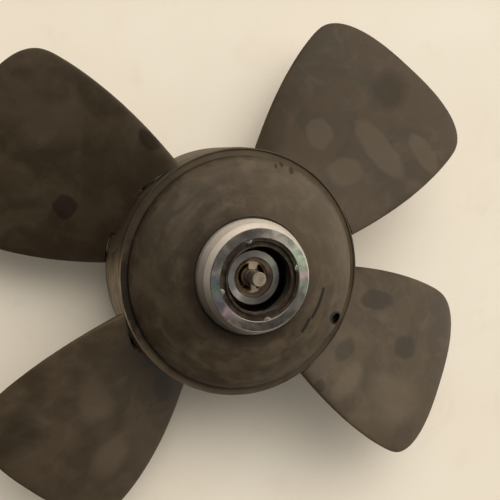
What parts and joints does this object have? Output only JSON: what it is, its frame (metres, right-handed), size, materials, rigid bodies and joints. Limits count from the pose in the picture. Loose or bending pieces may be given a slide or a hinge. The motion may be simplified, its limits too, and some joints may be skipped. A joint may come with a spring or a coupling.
{
  "type": "boat propeller",
  "caption": "Left-handed adjustable-pitch boat propeller: broad round-cornered blades on a large domed hub, with a bright ring, shaft seal, hollow shaft and pitch rod in its socket.",
  "frame": {"origin": "centre of the flat end of the tail cap, on the propeller axis", "axes": "+Z along the propeller axis, from the tail cap to the drive socket; +X halfway between blades 1 and 4, the narrow gap; +Y halfway between blades 1 and 2, the wide gap"},
  "size_m": [0.2724, 0.2372, 0.0909],
  "materials": {
    "composite": "matt moulded, glass-filled",
    "turned_steel": "fine turned, bright",
    "dark_steel": "machined",
    "bronze": "machined bronze",
    "seal_rubber": "smooth nitrile"
  },
  "bodies": {
    "hub": {"hub_body": "composite", "front_cover": "composite", "cover_lock_screw": "dark_steel", "bearing_ring": "turned_steel", "shaft_seal": "seal_rubber", "hollow_shaft": "turned_steel", "drive_key": "dark_steel", "rod_guide": "dark_steel", "trunnion_bushes": "bronze", "trunnion_seals": "seal_rubber", "rear_cover": "composite", "rear_cover_seal": "seal_rubber", "rear_cover_screws": "dark_steel", "front_cover_seal": "seal_rubber", "shaft_washer": "dark_steel", "shaft_nut": "dark_steel", "tail_cap": "composite", "tail_cap_screws": "dark_steel"},
    "pitch_gear": {"pitch_rod": "turned_steel", "cross_pin": "dark_steel", "crosshead": "bronze"},
    "blade_unit_1": {"blade_1": "composite", "crank_1": "dark_steel", "crank_screw_1": "dark_steel"},
    "blade_unit_2": {"blade_2": "composite", "crank_2": "dark_steel", "crank_screw_2": "dark_steel"},
    "blade_unit_3": {"blade_3": "composite", "crank_3": "dark_steel", "crank_screw_3": "dark_steel"},
    "blade_unit_4": {"blade_4": "composite", "crank_4": "dark_steel", "crank_screw_4": "dark_steel"}
  },
  "joints": [
    {"name": "pitch_rod_slide", "type": "slide", "parent": "hub", "child": "pitch_gear", "axis": [0, 0, 1], "range_m": [-0.0023, 0.0023]},
    {"name": "blade_1_pitch", "type": "hinge", "parent": "hub", "child": "blade_unit_1", "pos_m": [0, 0, 0.045], "axis": [0.7934, 0.6088, 0], "range_deg": [-14.7, 14.7]},
    {"name": "blade_2_pitch", "type": "hinge", "parent": "hub", "child": "blade_unit_2", "pos_m": [0, 0, 0.045], "axis": [-0.7934, 0.6088, 0], "range_deg": [-14.7, 14.7]},
    {"name": "blade_3_pitch", "type": "hinge", "parent": "hub", "child": "blade_unit_3", "pos_m": [0, 0, 0.045], "axis": [-0.7934, -0.6088, 0], "range_deg": [-14.7, 14.7]},
    {"name": "blade_4_pitch", "type": "hinge", "parent": "hub", "child": "blade_unit_4", "pos_m": [0, 0, 0.045], "axis": [0.7934, -0.6088, 0], "range_deg": [-14.7, 14.7]}
  ],
  "couplings": [
    {"joint": "blade_1_pitch", "follows": "pitch_rod_slide", "rad_per_m": 111.11},
    {"joint": "blade_2_pitch", "follows": "pitch_rod_slide", "rad_per_m": 111.11},
    {"joint": "blade_3_pitch", "follows": "pitch_rod_slide", "rad_per_m": 111.11},
    {"joint": "blade_4_pitch", "follows": "pitch_rod_slide", "rad_per_m": 111.11}
  ]
}
